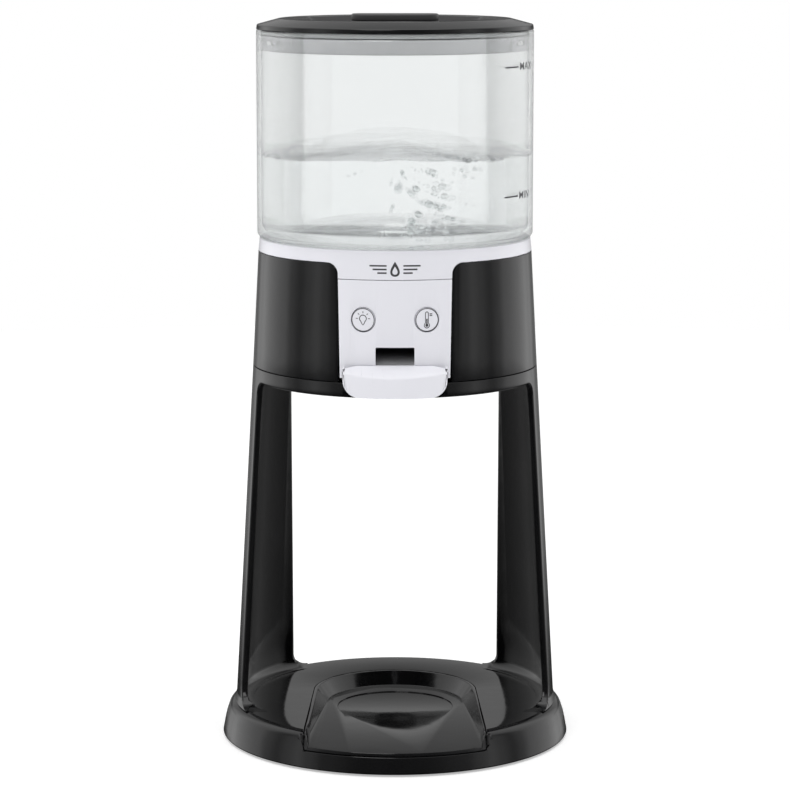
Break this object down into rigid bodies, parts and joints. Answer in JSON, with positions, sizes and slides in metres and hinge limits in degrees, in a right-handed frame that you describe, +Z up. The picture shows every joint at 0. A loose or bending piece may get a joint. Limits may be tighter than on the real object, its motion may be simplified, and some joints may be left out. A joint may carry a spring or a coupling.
{
  "type": "warm-water dispenser",
  "caption": "Warm-water dispenser for baby bottles: lift-off clear tank on a round heater body, carried by two legs on a round base with a bottle tray and a press lever.",
  "frame": {"origin": "centre of the round base, at the height of the surface that it stands on", "axes": "+Z up, the lever and the panel face -Y"},
  "size_m": [0.183, 0.183, 0.3794],
  "materials": {
    "black_gloss": "glossy black moulded plastic",
    "black_satin": "satin black moulded plastic",
    "white_gloss": "smooth white moulded plastic, a little glossy",
    "clear_plastic": "clear moulded copolyester",
    "silver_plastic": "satin silver plating",
    "stainless": "brushed stainless steel",
    "aluminium": "cast and machined aluminium",
    "silicone": "translucent food-grade silicone",
    "foot_rubber": "matt black rubber",
    "dark_plastic": "matt dark grey plastic",
    "circuit_board": "green glass-fibre circuit board",
    "brass": "bright brass",
    "brown_wire": "brown wire insulation",
    "blue_wire": "blue wire insulation"
  },
  "bodies": {
    "housing": {"base_shell": "black_gloss", "left_leg": "black_gloss", "right_leg": "black_gloss", "stand_ring": "black_gloss", "body_shell": "black_gloss", "base_plate": "black_satin", "body_floor": "black_satin", "collar": "white_gloss", "front_panel": "white_gloss", "outlet_coupler": "white_gloss", "pinch_housing": "white_gloss", "nozzle": "white_gloss", "lever_bracket": "white_gloss", "night_light_lens": "clear_plastic", "heating_ring": "stainless", "lever_pin": "stainless", "lever_spring": "stainless", "base_screw_1": "stainless", "base_screw_2": "stainless", "base_screw_3": "stainless", "base_screw_4": "stainless", "floor_screw_1": "stainless", "floor_screw_2": "stainless", "floor_screw_3": "stainless", "hot_plate": "aluminium", "coupler_seal": "silicone", "pinch_tube": "silicone", "foot_1": "foot_rubber", "foot_2": "foot_rubber", "foot_3": "foot_rubber", "foot_4": "foot_rubber", "window_cup": "dark_plastic", "thermostat": "dark_plastic", "light_switch": "dark_plastic", "temperature_switch": "dark_plastic", "relay": "dark_plastic", "power_inlet": "dark_plastic", "control_board": "circuit_board", "power_board": "circuit_board", "thermal_fuse": "brass", "temperature_sensor": "brass", "inlet_pin_1": "brass", "inlet_pin_2": "brass", "mains_wire_1": "brown_wire", "mains_wire_2": "blue_wire"},
    "tank": {"tank_wall": "clear_plastic", "tank_floor": "stainless", "tank_floor_seal": "silicone", "valve_bush": "white_gloss"},
    "valve": {"valve_stem": "clear_plastic", "valve_washer": "silicone"},
    "lid": {"lid_cover": "black_gloss", "lid_grip": "black_gloss", "lid_skirt": "silver_plastic", "lid_seal": "silicone"},
    "lever": {"lever": "white_gloss"},
    "pinch_bar": {"pinch_bar": "dark_plastic"},
    "light_button": {"light_button": "white_gloss"},
    "temperature_button": {"temperature_button": "white_gloss"},
    "tray": {"bottle_tray": "black_gloss"}
  },
  "joints": [
    {"name": "tank_lift", "type": "slide", "parent": "housing", "child": "tank", "axis": [0, 0, 1], "range_m": [0, 0.05]},
    {"name": "lid_lift", "type": "slide", "parent": "tank", "child": "lid", "axis": [0, 0, 1], "range_m": [0, 0.04]},
    {"name": "valve_drop", "type": "slide", "parent": "tank", "child": "valve", "axis": [0, 0, -1], "range_m": [0, 0.0025]},
    {"name": "lever_press", "type": "hinge", "parent": "housing", "child": "lever", "pos_m": [0, -0.045, 0.203], "axis": [1, 0, 0], "range_deg": [0, 7], "stiffness_Nm_per_rad": 1, "springref_deg": -4.58, "deforming": ["lever_spring"]},
    {"name": "pinch_bar_slide", "type": "slide", "parent": "housing", "child": "pinch_bar", "axis": [0, -1, 0], "range_m": [0, 0.0019]},
    {"name": "light_button_press", "type": "slide", "parent": "housing", "child": "light_button", "axis": [0.2201, 0.9755, 0], "range_m": [0, 0.0008], "stiffness_N_per_m": 600, "springref_m": -0.0005},
    {"name": "temperature_button_press", "type": "slide", "parent": "housing", "child": "temperature_button", "axis": [-0.2201, 0.9755, 0], "range_m": [0, 0.0008], "stiffness_N_per_m": 600, "springref_m": -0.0005},
    {"name": "tray_slide", "type": "slide", "parent": "housing", "child": "tray", "axis": [0, -1, 0], "range_m": [0, 0.09]}
  ],
  "couplings": [
    {"joint": "valve_drop", "follows": "tank_lift", "ratio": 0.05},
    {"joint": "pinch_bar_slide", "follows": "lever_press", "m_per_rad": 0.015}
  ]
}
